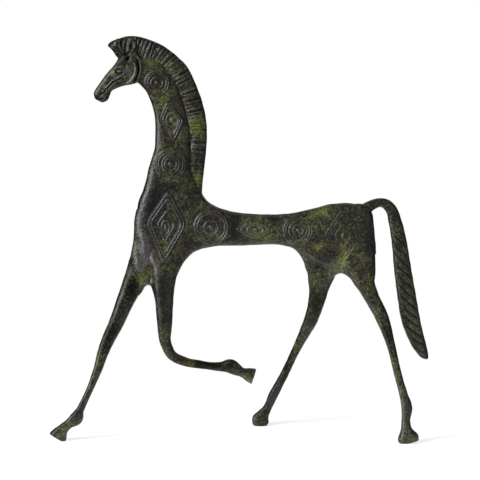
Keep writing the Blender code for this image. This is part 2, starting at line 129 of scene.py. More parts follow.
FAR_HIND_LEG = (
    (54, -0.4, 122, 12.4, 5.6),
    (51, 3, 112.5, 11.2, 5.8),
    (51.4, 4, 104, 9.1, 5.6),
    (50.4, 5.5, 97, 7, 5.2),
    (47.7, 9, 81.6, 4.9, 4.6),
    (44.7, 11.5, 71.6, 4.3, 4.2),
    (40.2, 14, 61.6, 3.3, 3.5),
    (35.7, 17, 51.6, 2.65, 2.9),
    (28.7, 21, 35.5, 2.6, 2.6),
    (21.6, 25, 20.6, 3.1, 2.8),
    (16.9, 27.4, 10, 3.1, 3),
    (15.1, 27.8, 7.2, 4, 3.4),
    (13.5, 28, 3.8, 5.7, 3.9),
    (12.8, 28, -0.5, 4.6, 3.6),
)
RAISED_FORELEG = (
    (-46, 0.2, 134, 10, 6.1),
    (-45.9, -2.2, 115, 11.6, 5.9),
    (-46.8, -3.5, 107.5, 8.8, 6),
    (-47.5, -4.5, 97.4, 6.9, 5.4),
    (-47.3, -5, 85.5, 5.6, 4.8),
    (-47.1, -5.5, 73.4, 4.8, 4.3),
    (-46.5, -6, 61, 3.5, 3.6),
    (-42.9, -6, 53.3, 3.1, 3.3),
    (-34, -6, 48.8, 2.8, 3),
    (-25, -6, 47.1, 2.55, 2.6),
    (-17, -6.5, 46.1, 2.5, 2.6),
    (-11.2, -6.5, 45.9, 3.2, 2.9),
    (-5.9, -7, 46.1, 4.5, 3.2),
    (-1.8, -7, 43.9, 3.8, 2.9),
    (1.3, -7, 42.3, 2.9, 2.8),
    (5, -7, 40.9, 4.2, 3.4),
    (8.8, -7, 39.7, 5.1, 3.8),
)
FORWARD_FORELEG = (
    (-54.6, 0.4, 130, 8.6, 5),
    (-60.5, 1, 112.5, 8.6, 5.4),
    (-64, 1, 104, 7.7, 5.2),
    (-71.5, 0, 87.6, 5.7, 4.6),
    (-77.8, -1.5, 72.5, 4.7, 4.1),
    (-84.3, -3.5, 58.9, 3.9, 3.6),
    (-90, -6.5, 41.9, 2.7, 2.8),
    (-97.7, -9.5, 24.1, 2.3, 2.4),
    (-100.4, -10.5, 18.7, 2.7, 2.6),
    (-102.5, -11.5, 14.1, 4.3, 2.9),
    (-107.6, -12, 10.2, 3, 2.8),
    (-110.9, -12.5, 7.1, 3.6, 3.2),
    (-113.4, -12.8, 3.4, 5.4, 3.6),
    (-114.3, -12.8, 1.8, 5.9, 3.8),
)
TAIL = (
    (77.5, 0, 144, 3.8, 3.4),
    (83.6, 0, 147.6, 3, 3.4),
    (87.2, 0, 148.6, 2.75, 3),
    (91.2, 0, 147.5, 3.2, 3),
    (94, 0, 144.6, 3.5, 3),
    (96.7, 0, 137, 4.1, 3.1),
    (99.4, 0, 124.4, 4.7, 3.3),
    (101.9, 0, 106.5, 5.4, 3.4),
    (105, 0, 87.4, 5.9, 3.4),
    (107.4, 0, 74.5, 5.9, 3.2),
    (110.2, 0, 65.3, 5.2, 2.9),
    (113.9, 0, 56.4, 4, 2.4),
    (116.8, 0, 51.3, 2.3, 1.8),
    (118.4, 0, 49.6, 0.7, 0.8),
)
# Fillets where limbs meet. The outer edge of each follows the curve of the skin between them.
BELLY_WEB = (
    (-45.8, -4.2, 89.3, 3.6, 5),
    (-45.9, -3.8, 96.5, 5, 5.1),
    (-44.8, -3.4, 102.4, 5, 5.3),
    (-42.8, -3, 107.3, 5, 5.4),
    (-39.8, -2.6, 113.2, 5, 5.5),
    (-36.1, -1.4, 117.7, 5, 5),
    (-31.8, -0.9, 121.5, 5, 5.2),
    (-26.6, -0.5, 124, 5, 5.4),
    (-20.9, -0.3, 125.4, 5, 5.6),
    (-14.4, -0.2, 126.4, 5, 5.7),
    (-6.1, 0, 126.3, 3.8, 5.9),
)
SHOULDER_WEB = (
    (-27.4, 0, 166, 2.6, 3),
    (-27.4, 0, 157.8, 3.6, 3.9),
    (-27.2, 0, 152.5, 4, 4.8),
    (-25.2, 0, 149, 4, 5.3),
    (-22.6, 0, 146.2, 4, 5.5),
    (-19, 0, 143.6, 4, 5.7),
    (-14.5, 0, 141.5, 4, 5.9),
    (-8.9, 0, 139.7, 4, 6.1),
    (-1.6, 0, 138.4, 3.2, 6.3),
)
FLANK_WEB = (
    (22.2, 0, 126.4, 3.8, 5.9),
    (28.6, 0.2, 126.4, 5, 5.7),
    (34, 0.6, 125, 5, 5.5),
    (38.7, 1.1, 121.8, 5, 5.3),
    (42.2, 1.8, 117.3, 5, 5.2),
    (44.6, 2.6, 112.4, 5, 5.3),
    (46.4, 3.4, 107.7, 5, 5.3),
    (47.6, 4.2, 102.3, 5, 5.1),
    (48.2, 5.7, 96.1, 5, 4.8),
    (47.6, 7.2, 90.2, 3.8, 3.6),
)
CROTCH_WEB = (
    (50.5, 6.6, 88.6, 2.4, 3.6),
    (52.6, 5.8, 94.2, 3.2, 4),
    (53.6, 4.6, 99.8, 4, 4.4),
    (56, 2.8, 104.2, 4, 4.5),
    (59.7, 1, 107.2, 4, 4.7),
    (64.4, -0.4, 108, 4, 4.8),
    (68.5, -1.6, 106.4, 4, 4.8),
    (71.9, -2.8, 103.6, 4, 4.8),
    (74.1, -4, 99.1, 3.2, 4.8),
    (77.5, -5.2, 93.4, 2.4, 4.8),
)
CHEST_WEB = (
    (-65.8, 0.4, 90.2, 2, 3.2),
    (-63.5, 0.4, 93.8, 2.6, 3.4),
    (-61.8, 0, 97.5, 3, 3.8),
    (-58.3, -0.9, 99.8, 3, 3.9),
    (-53.6, -2.2, 98.5, 3, 4.4),
    (-52.2, -3, 94.3, 2.6, 4.6),
    (-51.5, -4, 89.7, 2, 4.7),
)
# The crest lies between two edges: x and z of its inner edge, the same of its outer edge, half depth
MANE = (
    (-81.6, 245.6, -81.5, 246, 0.6),
    (-80.4, 244.4, -80.2, 247.6, 1.8),
    (-78.9, 243, -78.6, 248.6, 2.6),
    (-77.5, 241.1, -76.3, 249.4, 3.1),
    (-75.8, 238.6, -73.4, 250.4, 3.4),
    (-71.5, 237.6, -69.9, 251.4, 3.4),
    (-66, 238.2, -66.3, 251.6, 3.4),
    (-61.2, 237.6, -61, 251, 3.4),
    (-56.4, 236, -55.4, 249.1, 3.4),
    (-52.2, 233.8, -49.1, 246.6, 3.4),
    (-48.6, 231.2, -43, 242.7, 3.4),
    (-45.2, 227.4, -37.6, 238.2, 3.4),
    (-42.2, 223.4, -32.8, 233.2, 3.4),
    (-39.6, 218.9, -29.2, 226.6, 3.4),
    (-37.4, 213.4, -25.8, 218.4, 3.4),
    (-35.4, 207.4, -23.3, 211.2, 3.4),
    (-33.8, 201.8, -21.5, 203.9, 3.4),
    (-32.5, 195.6, -20.6, 196.4, 3.4),
    (-31.9, 187.4, -20.5, 187.6, 3.4),
    (-31.8, 178.3, -21.2, 178.2, 3.4),
    (-31.9, 169.1, -22.3, 168.9, 3.4),
    (-31.6, 160.3, -23.3, 160.1, 3.2),
    (-29.6, 154.5, -23.6, 154.4, 2.8),
)
EAR = (  # of the near side: x, y, z, half width, half depth
    (-66.6, -3.4, 241, 1.7, 1),
    (-66.5, -3.7, 244, 2.1, 1.1),
    (-66.3, -3.9, 246.8, 1.6, 0.9),
    (-66.2, -4, 249.8, 0.3, 0.4),
)
# An oval's power: 2 is an ellipse, and 4 is a slab with rounded edges
SLAB = 3.2
NECK_SLAB = 3.4
ROUND_HEAD = 3.0
ROUND_LEG = 2.6
STRAP = 2.6
LIMBS = (
    (NECK, NECK_SLAB),
    (TRUNK, SLAB),
    (HEAD, ROUND_HEAD),
    (NEAR_HIND_LEG, ROUND_LEG),
    (FAR_HIND_LEG, ROUND_LEG),
    (RAISED_FORELEG, ROUND_LEG),
    (FORWARD_FORELEG, ROUND_LEG),
    (TAIL, STRAP),
    (BELLY_WEB, SLAB),
    (SHOULDER_WEB, SLAB),
    (FLANK_WEB, SLAB),
    (CROTCH_WEB, ROUND_LEG),
    (CHEST_WEB, ROUND_LEG),
    (EAR, ROUND_LEG),
    ([(x, -y, *sizes) for x, y, *sizes in EAR], ROUND_LEG),
)

# Rings: x, z, height as a share of LINE_HEIGHT, then the radius of each raised line, from the outside in
RINGS = (
    (-50.9, 222.9, 0.65, (7.2, 5.8, 3.6)),
    (-42.7, 172.8, 0.6, (9, 7.6, 5.3, 3.7)),
    (-17.8, 133.7, 0.75, (10.2, 8.7, 4.3)),
    (36.1, 131.9, 0.55, (8.7, 7.4, 5.5, 3.3)),
)
# Lozenges: corners at the top, right, bottom and left, height as a share of LINE_HEIGHT, then the size of
# each raised line as a share of the corners'
LOZENGES = (
    (((-44.8, 210.6), (-35.1, 200.4), (-40.7, 187.7), (-48.8, 200.9)), 1, (1, 0.8)),
    (((-44.2, 155.8), (-33.9, 135.5), (-47.4, 112.2), (-57.4, 136.8)), 1.1, (1, 0.84, 0.45)),
    (((9.3, 137.8), (21.2, 132.4), (9.3, 126.9), (-2.6, 132.4)), 0.7, (1, 0.8)),
    (((64, 145.5), (75.1, 128.4), (65.1, 112.3), (52.7, 129.1)), 0.45, (1, 0.82, 0.46)),
)
OVALS = (  # inner lines that are ovals: x, z, half width, half height
    (-41.6, 200.1, 3.6, 4.2),
    (9.7, 132.3, 4.9, 2.8),
    (-46, 133.7, 2.4, 4.4),
)
BOSSES = (  # x, z, half width, half height
    (-50.9, 222.9, 1, 1),
    (-41.6, 200.1, 1.1, 1.3),
    (-42.7, 172.8, 1.6, 1.6),
    (-46, 133.7, 0.8, 2.2),
    (-17.8, 133.7, 1.6, 1.6),
    (9.7, 132.3, 1.2, 1),
    (36.1, 131.9, 1.2, 1.2),
    (64.1, 128.5, 1, 2),
)
LINE_WIDTH = 1.1
LINE_HEIGHT = 0.62
FURROW_WIDTH = 1.7  # the shallow furrow outside an ornament's outer line
FURROW_DEPTH = 0.3
FURROW_GAP = 1.9  # from a lozenge's outer line to its furrow, at the corners
CORNER_BEND = 0.16  # where a lozenge's corner starts to bend, as a share of its sides
OVAL_SHARE = 0.8  # height of the inner ovals, as a share of LINE_HEIGHT

# The mane: its inner edge, and its locks
MANE_EDGE = (
    (-59.7, 239.4), (-54.6, 237.5), (-49.9, 234.4), (-45.7, 230.4), (-42.1, 225.9), (-39.4, 219.5),
    (-37.1, 214.2), (-35.6, 208.1), (-33.6, 202.3), (-32.5, 196.4), (-31.7, 187.8), (-30.9, 178.5),
)
CREST_STEPS = 6
LOCK = 2.4  # from one lock to the next, along the crest
LOCK_FAMILIES = ((1.0, 1.0, 1.0), (1.62, 7.0, 0.7))  # spacing in LOCKs, seed, depth as a share
LOCK_DEPTH = 0.6
LOCK_RIDGE = 0.7  # how high the boldest lock stands over the crest
LOCK_LEAN = 2.0  # how far a lock's outer end leans along the crest, at the top of the head
MANE_LENGTH_TOP = 75.0  # distance along the crest where that lean has gone
EAR_AT = (-66.5, 245.6)
EAR_CLEARING = (3.0, 5.8)  # half width and half height of the oval around the ear that has no locks
FORELOCK_FAN = (-70.2, 233.3)  # the locks in front of the ear spread from this point
FORELOCK_REACH = 10.0  # and keep the locks' own spacing at this distance from it
FORELOCK_BOLD = 1.4  # their depth, as a share of the others'

# The tail: slanting locks
TAIL_LOCK = 6.6
TAIL_DEPTH = 0.6
TAIL_SLANT = 1.25  # how far a lock falls over each millimetre across the tail
TAIL_TOP = 133.0  # height where the locks begin
GROOVE_BELOW, GROOVE_ABOVE = 0.10, 0.24  # a groove's width on each side of its line, in locks

# Face lines: width, height, then points
FACE_LINES = (
    (1.5, 0.9, ((-66.9, 240.5), (-69.4, 239.1), (-72, 237.3), (-74.6, 234.9), (-76.6, 232))),
    (1.9, 0.95, ((-64.6, 234.6), (-63.9, 231.6), (-64.7, 227.8), (-67.5, 223.9), (-69.4, 222.6))),
    (1.4, 0.45, ((-62.4, 238.4), (-61.2, 235.1), (-60.9, 230.8), (-62.4, 225.9))),
    (1.2, 0.75, ((-72.6, 227.6), (-75.6, 225.4), (-78.8, 223.9), (-80.5, 221.8), (-82.9, 219.5))),
    (1.2, 0.65, ((-72.9, 225), (-77.3, 222.8), (-80, 220.1), (-82.1, 218.4))),
    (1.6, 0.8, ((-74.4, 249), (-73.8, 245.6), (-73, 242.1))),
    (1.3, 0.6, ((-70.9, 249.3), (-70.6, 246.6), (-70.3, 244.3))),
)
FACE_CUTS = (
    (1.6, 0.7, ((-67.4, 242.2), (-70.2, 240.8), (-72.9, 239.1), (-75.6, 236.8))),
    (1.9, 0.8, ((-63, 236.5), (-62.2, 231.5), (-63.2, 227), (-65.4, 223.6))),
    (1, 0.7, ((-87.2, 214.3), (-84.6, 216.6), (-82.5, 218))),
    (1, 0.6, ((-72.4, 226.2), (-76.8, 223.9), (-80.2, 221), (-82, 219.2))),
    (1.2, 0.5, ((-69.6, 232.8), (-71, 233.8), (-74.4, 234), (-77.6, 231.4))),
)
EYE = (-74.0, 230.0)
EYE_LID = (3.1, 2.4)
EYE_BALL = (1.3, 1.1)
EYE_GROOVE = (2.0, 1.6)
NOSTRIL = (-85.2, 218.4, 1.1, 0.9)
EAR_HOLLOW = (-69.2, 238.6, 1.6, 2.6, 1.5)  # x, z, half width, half height, depth
SWELLS = (  # x, z, half width, half height, height
    (-68.4, 229.4, 3.6, 4.2, 0.5),
    (-82.6, 224.3, 2.2, 1.7, 0.6),
    (-83.7, 214.6, 1.7, 2.3, 0.6),
    (-66.6, 245.6, 1.2, 3, -0.8),
    (-62.4, 112, 3.6, 7.5, 0.9),
)
EAR_LEAF = ((-66.0, 250.4), (-64.2, 246.2), (-66.8, 241.4), (-68.3, 245.8))

# Broad folds of the body: width, height, then points
FOLDS = (
    (6.5, 0.7, ((-61.6, 133.5), (-59.6, 124.6), (-57.6, 116.5), (-55.7, 107.5))),
    (4.5, -0.5, ((-64.6, 131), (-63.2, 122), (-61.2, 113), (-59.6, 106))),
    (3.6, 0.35, ((34.8, 121.5), (39.1, 119.6), (45.4, 114.6), (52.9, 110.8), (63.5, 107))),
    (4.6, -0.35, ((37, 123.5), (44, 118.6), (50, 114.6), (58, 112))),
)

# Where the verdigris lies thick: x, z, half width, half height, strength
VERDIGRIS = (
    (-47, 211.3, 4, 5.8, 0.9),
    (-41.9, 200.2, 3.1, 4.3, 0.75),
    (-42.5, 190.4, 2.5, 2.5, 0.6),
    (-43.3, 163.2, 4.3, 1.9, 0.8),
    (-48.5, 183.6, 2.5, 1.9, 0.5),
    (-26.5, 196.5, 5.5, 8.6, 1),
    (-52, 236.5, 5, 2.5, 0.5),
    (-40.5, 224, 2.8, 5, 0.5),
    (-28, 182, 4, 5, 0.5),
    (-25.4, 161.3, 2.5, 4.3, 0.9),
    (-45.4, 232, 6.1, 3.7, 0.6),
    (-72, 240.6, 3.1, 1.8, 0.6),
    (-66.5, 246, 1.1, 2.4, 0.6),
    (-67.8, 226.9, 4.4, 5, 0.75),
    (-77.5, 229.5, 2.5, 3.7, 0.5),
    (-84, 218.5, 2.6, 3.4, 0.5),
    (-73.5, 243.5, 5, 3.7, 0.45),
    (-51.3, 218, 3.7, 1.5, 0.75),
    (-46.3, 124.2, 2.2, 5, 0.9),
    (-49, 140.2, 2.5, 3.1, 0.5),
    (-44.2, 107.9, 4.4, 4.4, 0.75),
    (-60.7, 108.9, 4.4, 12.5, 0.6),
    (-68.5, 101.9, 3.7, 4.4, 0.5),
    (-33.1, 142.7, 2.5, 1.5, 0.5),
    (13.3, 132.7, 10.6, 8.1, 0.6),
    (35.7, 125.2, 5, 1.9, 0.9),
    (50.2, 142.7, 5.6, 3.1, 1.1),
    (45.9, 133.9, 5, 5, 0.5),
    (48.5, 121.4, 3.1, 2.5, 1.1),
    (64.7, 115.8, 3.7, 7.5, 1),
    (71.6, 103.2, 3.1, 5.6, 0.65),
    (79.5, 101, 4, 9, 0.55),
    (56.1, 103.2, 2.5, 3.1, 0.55),
    (48.6, 97.5, 3.7, 6.2, 0.4),
    (5.7, 39.1, 3.8, 4.4, 0.35),
    (-28.5, 47.8, 4.4, 1.9, 0.6),
    (15.1, 13, 3.1, 3.1, 0.55),
    (98.5, 44.2, 3.1, 15.7, 0.3),
    (106.6, 4, 4.4, 3.8, 0.35),
    (85.8, 84.9, 3.1, 4.4, 0.5),
    (-87.2, 49.3, 3.1, 8.8, 0.3),
    (-109.7, 4, 3.2, 2.5, 0.5),
)
# Where the skin stays smooth and dark: x, z, half width, half height, strength
BARE = (
    (-55.7, 150.7, 6.2, 8.7, 1),
    (-3.7, 132.7, 2.5, 8.1, 0.9),
    (79.8, 123.9, 3.7, 11.2, 0.2),
    (-67.5, 96, 3.7, 10, 0.7),
    (-74, 80, 4.4, 10, 0.5),
    (-47.3, 85, 5.6, 14, 0.5),
    (-20, 46.5, 12, 3.7, 0.5),
    (47, 84, 5.6, 10, 0.3),
    (25, 28, 6.2, 12, 0.5),
    (92, 64, 5, 12, 0.5),
)
# Where the skin has lost its wax and shines less: x, z, half width, half height, strength
DULL = (
    (-67.5, 97, 5, 14, 0.9),
    (-82, 62, 8, 20, 0.8),
    (-47.3, 72, 6, 14, 0.4),
    (-22, 47, 24, 5, 0.8),
    (48, 86, 8, 16, 0.9),
    (32, 44, 14, 22, 0.9),
    (16, 8, 8, 10, 0.8),
    (92, 64, 9, 26, 0.5),
)
FACING = (0.2, 0.6)  # the carving starts and is whole where the skin's normal leans out by these
SOLE_TOP = 0.2  # skin below this height lies on the ground and isn't carved
GROUND_SNAP = 0.08  # skin below this height is set on the ground

# The patina's layers: how much each noise and each stored value counts
FILM_PARTS = {"mottle": 0.45, "grain": 0.55, "drift": 0.3, "verdigris": 0.08, "bare": -0.14}
CRUST_PARTS = {"mottle": 0.35, "grain": 0.65, "verdigris": 0.2, "drift": 0.3, "bare": -0.12}
ROUGH_PARTS = {"crust": 0.25, "grain": 0.35, "hollow": 0.35, "bare": -0.06}
PIT_PARTS = {"grain": 0.45, "mottle": 1.0}
# Soft steps: from, to, and the results there if not 0 and 1. The steps for the grooves' dark colour, the
# ridges' light colour and the shine read the relief in mm.
FILM_STEP = (0.43, 0.65)
BROWN_STEP = (0.5, 0.66, 0.0, 0.8)
CRUST_STEP = (0.56, 0.78, 0.0, 0.85)
# Painted shade, partly dirt: this step turns the grooves and hollows near black.
HOLLOW_DIRT_AND_SHADE_STEP = (-0.7, -0.05, 0.9, 0.0)
# Painted highlight, partly rubbed metal: this step and the next turn the raised lines light violet-grey.
WORN_AND_HIGHLIGHT_STEP = (0.15, 0.55, 0.0, 0.65)
WORN_AND_HIGHLIGHT_GRAIN_STEP = (0.30, 0.55)
SHINE_STEP = (-0.9, -0.2, 0.05, 0.45)
DULL_STEP = (0.0, 1.0, 1.0, 0.3)
BROWN_CLOUDS = 1.6  # their size, as a share of the film's clouds

# Lights: name, the way towards it from the horse, softness in degrees, colour
LIGHTS = (
    ("key", (-0.76, -0.42, 0.52), 18.0, (1.0, 0.99, 0.96)),
    ("strip", (-0.79, -0.6, 0.08), 7.0, (0.92, 0.92, 1.0)),
    ("fill", (0.55, -0.83, 0.1), 80.0, (1.0, 1.0, 1.0)),
    ("top", (0.0, 0.35, 0.94), 80.0, (1.0, 1.0, 1.0)),
    ("back", (0.45, 0.85, 0.35), 40.0, (1.0, 1.0, 1.0)),
)


def signed_power(value, power):
    """The value's size to the power, with its sign kept."""
    return np.sign(value) * np.abs(value) ** power


def smooth_rows(stations, steps, axes=3):
    """Rows on one smooth curve through the stations, with `steps` rows to a span.

    Each span is the cubic that leaves and arrives with the stations' own mean slopes, taken over the
    distance between them in their first `axes` columns.
    """
    rows = np.array(stations, dtype=float)
    reach = np.linalg.norm(np.diff(rows[:, :axes], axis=0), axis=1)
    at = np.concatenate([[0.0], np.cumsum(reach)])
    slope = np.gradient(rows, at, axis=0)
    wanted = [np.linspace(a, b, steps, endpoint=False) for a, b in zip(at[:-1], at[1:])]
    wanted = np.concatenate(wanted + [at[-1:]])
    span = np.clip(np.searchsorted(at, wanted, side="right") - 1, 0, len(at) - 2)
    gap = reach[span][:, None]
    t = (wanted - at[span])[:, None] / gap
    start, end = rows[span], rows[span + 1]
    leave, arrive = slope[span] * gap, slope[span + 1] * gap
    bend = (2 * t**3 - 3 * t**2 + 1) * start + (t**3 - 2 * t**2 + t) * leave
    return bend + (3 * t**2 - 2 * t**3) * end + (t**3 - t**2) * arrive


def oval_skin(centres, across, depths, power, sides):
    """An oval carried along rows of centres, as (points, faces), closed by a fan at each end.

    At turn t a row's point is its centre, plus c times its half width along `across` in the XZ plane,
    plus s times its half depth along Y. c and s are the cosine and sine of t, each to the power 2 over
    the oval's own power, with their signs kept.
    """
    turn = np.arange(sides) * 2 * math.pi / sides
    wide = signed_power(np.cos(turn), 2 / power)
    x = centres[:, 0:1] + across[:, 0:1] * wide
    y = centres[:, 1:2] + PLATE_Y + depths[:, None] * signed_power(np.sin(turn), 2 / power)
    z = centres[:, 2:3] + across[:, 1:2] * wide
    ends = centres[[0, -1]] + (0.0, PLATE_Y, 0.0)
    points = np.concatenate([np.stack([x, y, z], axis=-1).reshape(-1, 3), ends])
    points[:, 2] = np.maximum(points[:, 2], 0.0)

    count = len(centres)
    ring = np.arange(sides)
    after = (ring + 1) % sides
    row = np.arange(count - 1)[:, None] * sides
    quads = np.stack([row + ring, row + after, row + after + sides, row + ring + sides], axis=-1)
    first, last = np.full(sides, count * sides), np.full(sides, count * sides + 1)
    top = (count - 1) * sides
    fans = np.concatenate([np.stack([first, after, ring], 1), np.stack([last, top + ring, top + after], 1)])
    return points, quads.reshape(-1, 4).tolist() + fans.tolist()


def limb_skin(stations, power, sides, steps):
    """A limb through its stations: each oval stands square to the path in the XZ plane."""
    rows = smooth_rows(stations, steps)
    along = np.gradient(rows[:, [0, 2]], axis=0)
    along /= np.linalg.norm(along, axis=1, keepdims=True)
    across = np.stack([-along[:, 1], along[:, 0]], axis=-1) * rows[:, 3:4]
    return oval_skin(rows[:, :3], across, rows[:, 4], power, sides)


def mane_rows(steps):
    """Rows of the crest: middles (x, z), half of the way from the inner to the outer edge, half depth."""
    rows = smooth_rows(MANE, steps, axes=4)
    inner, outer = rows[:, 0:2], rows[:, 2:4]
    return (inner + outer) / 2, (outer - inner) / 2, rows[:, 4]


def mane_skin(sides, steps):
    """The crest, whose ovals reach from its inner edge to its outer edge."""
    middles, across, depths = mane_rows(steps)
    centres = np.stack([middles[:, 0], np.zeros(len(middles)), middles[:, 1]], axis=-1)
    return oval_skin(centres, across, depths, STRAP, sides)


def horse_skins(sides, steps):
    """Every limb's skin and the crest's."""
    skins = [limb_skin(stations, power, sides, steps) for stations, power in LIMBS]
    return skins + [mane_skin(sides, steps)]


def joined(name, skins):
    """One object from several skins, in metres."""
    points, faces, count = [], [], 0
    for skin_points, skin_faces in skins:
        points.append(skin_points)
        faces += [[i + count for i in face] for face in skin_faces]
        count += len(skin_points)
    mesh = bpy.data.meshes.new(name)
    mesh.from_pydata(np.concatenate(points) * MM, [], faces)
    made = bpy.data.objects.new(name, mesh)
    bpy.context.scene.collection.objects.link(made)
    return made


def settle(obj):
    """Puts the result of the object's modifiers in its own mesh."""
    graph = bpy.context.evaluated_depsgraph_get()
    mesh = bpy.data.meshes.new_from_object(obj.evaluated_get(graph))
    mesh.name = obj.name
    obj.modifiers.clear()
    old, obj.data = obj.data, mesh
    bpy.data.meshes.remove(old)


def read_points(mesh, what):
    """The mesh's points or their normals, as rows of three."""
    values = np.empty(len(mesh.vertices) * 3, dtype=np.float32)
    if what == "co":
        mesh.vertices.foreach_get("co", values)
    else:
        mesh.vertex_normals.foreach_get("vector", values)
    return values.reshape(-1, 3).astype(float)


def soft_step(value, low, high):
    """0 below `low`, 1 above `high`, and between them 3t squared less 2t cubed."""
    t = np.clip((value - low) / (high - low), 0.0, 1.0)
    return t * t * (3.0 - 2.0 * t)


def ripple(at, seed):
    """An uneven wave between about 0 and 1: a half, and a sixth of three sines of unlike lengths."""
    wave = np.sin(at * 1.0 + seed) + np.sin(at * 1.73 + seed * 2.1) + np.sin(at * 2.91 + seed * 3.7)
    return 0.5 + wave / 6.0


def distances(path):
    """How far along the path each of its points lies."""
    return np.concatenate([[0.0], np.cumsum(np.hypot(*np.diff(path, axis=0).T))])


def from_path(x, z, path, closed=False):
    """Of each (x, z): its distance along the path, and its offset, positive on the path's left.

    The nearest point of every straight span is found, and the span with the least gap is kept.
    """
    start = path if closed else path[:-1]
    end = np.roll(path, -1, axis=0) if closed else path[1:]
    span = end - start
    length = np.hypot(span[:, 0], span[:, 1])
    at = np.concatenate([[0.0], np.cumsum(length)[:-1]])
    ox, oz = x[:, None] - start[:, 0], z[:, None] - start[:, 1]
    t = np.clip((ox * span[:, 0] + oz * span[:, 1]) / length**2, 0.0, 1.0)
    gx, gz = ox - t * span[:, 0], oz - t * span[:, 1]
    gap = np.hypot(gx, gz)
    best = np.argmin(gap, axis=1)
    row = np.arange(len(x))
    side = np.sign(span[best, 0] * oz[row, best] - span[best, 1] * ox[row, best])
    return at[best] + t[row, best] * length[best], side * gap[row, best]


def bar_profile(gap, width):
    """A rounded bar's height from 0 to 1: one less the squared share of its half width, to the 1.5."""
    return np.clip(1.0 - (2.0 * gap / width) ** 2, 0.0, None) ** 1.5


def oval_path(x, z, half_a, half_b, count=64):
    """Points around an ellipse at (x, z)."""
    turn = np.arange(count) * 2 * math.pi / count
    return np.stack([x + half_a * np.cos(turn), z + half_b * np.sin(turn)], axis=-1)


def rounded_path(corners, rounding, steps=8):
    """A closed path with straight sides, whose corners are bent.

    A bend leaves each side at the share `rounding` of its length from the corner, and follows the
    quadratic curve that has the corner as its middle point.
    """
    corner = np.array(corners, dtype=float)[:, None]
    before, after = np.roll(corner, 1, axis=0), np.roll(corner, -1, axis=0)
    t = np.linspace(0.0, 1.0, steps)[None, :, None]
    start = corner + (before - corner) * rounding
    end = corner + (after - corner) * rounding
    bend = (1 - t) ** 2 * start + 2 * t * (1 - t) * corner + t**2 * end
    return bend.reshape(-1, 2)


class Relief:
    """The carving on one face of the casting, as heights in mm over points (x, z)."""

    def __init__(self, x, z):
        self.x, self.z = x, z
        self.raised = np.zeros(len(x))
        self.cut = np.zeros(len(x))
        self.swell = np.zeros(len(x))

    def near(self, path, margin):
        """Which points lie in the path's own box, widened by the margin."""
        low, high = path.min(axis=0) - margin, path.max(axis=0) + margin
        inside = (self.x > low[0]) & (self.x < high[0]) & (self.z > low[1]) & (self.z < high[1])
        return np.nonzero(inside)[0]

    def line(self, path, width, height, closed=False):
        """A bar along the path. A height below nought is a groove."""
        path = np.asarray(path, dtype=float)
        here = self.near(path, width)
        if not len(here):
            return
        gap = np.abs(from_path(self.x[here], self.z[here], path, closed)[1])
        bar = height * bar_profile(gap, width)
        kept = self.raised if height > 0 else self.cut
        choose = np.maximum if height > 0 else np.minimum
        kept[here] = choose(kept[here], bar)

    def fold(self, path, width, height):
        """A soft ridge or valley along the path: exp of minus the squared share of its half width.

        It fades in over its first quarter and out over its last.
        """
        here = self.near(path, 1.5 * width)
        if len(here):
            at, offset = from_path(self.x[here], self.z[here], path)
            length = distances(path)[-1]
            fade = soft_step(at, 0.0, 0.25 * length) * soft_step(length - at, 0.0, 0.25 * length)
            self.swell[here] += height * np.exp(-((2.0 * offset / width) ** 2)) * fade

    def mound(self, x, z, half_a, half_b, height):
        """A swelling, or a hollow where the height is below nought: exp of -1.2 times the squared share."""
        share = ((self.x - x) / half_a) ** 2 + ((self.z - z) / half_b) ** 2
        self.swell += height * np.exp(-1.2 * share)

    def boss(self, x, z, half_a, half_b, height):
        """A round-topped knob: the root of one less the squared share of its half sizes."""
        share = np.sqrt(((self.x - x) / half_a) ** 2 + ((self.z - z) / half_b) ** 2)
        self.raised = np.maximum(self.raised, height * np.clip(1.0 - share**2, 0.0, None) ** 0.5)

    def total(self):
        return self.raised + self.cut + self.swell


def carve_ornaments(relief, side):
    """Rings and lozenges in raised lines, with a furrow around each. The far face has fewer lines."""
    for x, z, share, radii in RINGS:
        kept = radii if side == NEAR else radii[:2]
        for radius in kept:
            relief.line(oval_path(x, z, radius, radius), LINE_WIDTH, share * LINE_HEIGHT, closed=True)
        around = radii[0] + (LINE_WIDTH + FURROW_WIDTH) / 2
        relief.line(oval_path(x, z, around, around), FURROW_WIDTH, -share * FURROW_DEPTH, closed=True)
    for corners, share, sizes in LOZENGES:
        corners = np.array(corners)
        middle = corners.mean(axis=0)
        kept = sizes if side == NEAR else sizes[:2]
        for size in kept:
            path = rounded_path(middle + (corners - middle) * size, CORNER_BEND)
            relief.line(path, LINE_WIDTH, share * LINE_HEIGHT, closed=True)
        reach = np.linalg.norm(corners - middle, axis=1).mean()
        around = rounded_path(middle + (corners - middle) * (1.0 + FURROW_GAP / reach), CORNER_BEND)
        relief.line(around, FURROW_WIDTH, -share * FURROW_DEPTH, closed=True)
    if side == NEAR:
        for oval in OVALS:
            relief.line(oval_path(*oval), LINE_WIDTH, OVAL_SHARE * LINE_HEIGHT, closed=True)
    for boss in BOSSES:
        relief.boss(*boss, LINE_HEIGHT)


def scatter(index, seed):
    """A number from 0 to 1 for each whole number: the fraction of a large multiple of its sine."""
    value = np.sin(index * 12.9898 + seed * 78.233) * 43758.5453
    return value - np.floor(value)


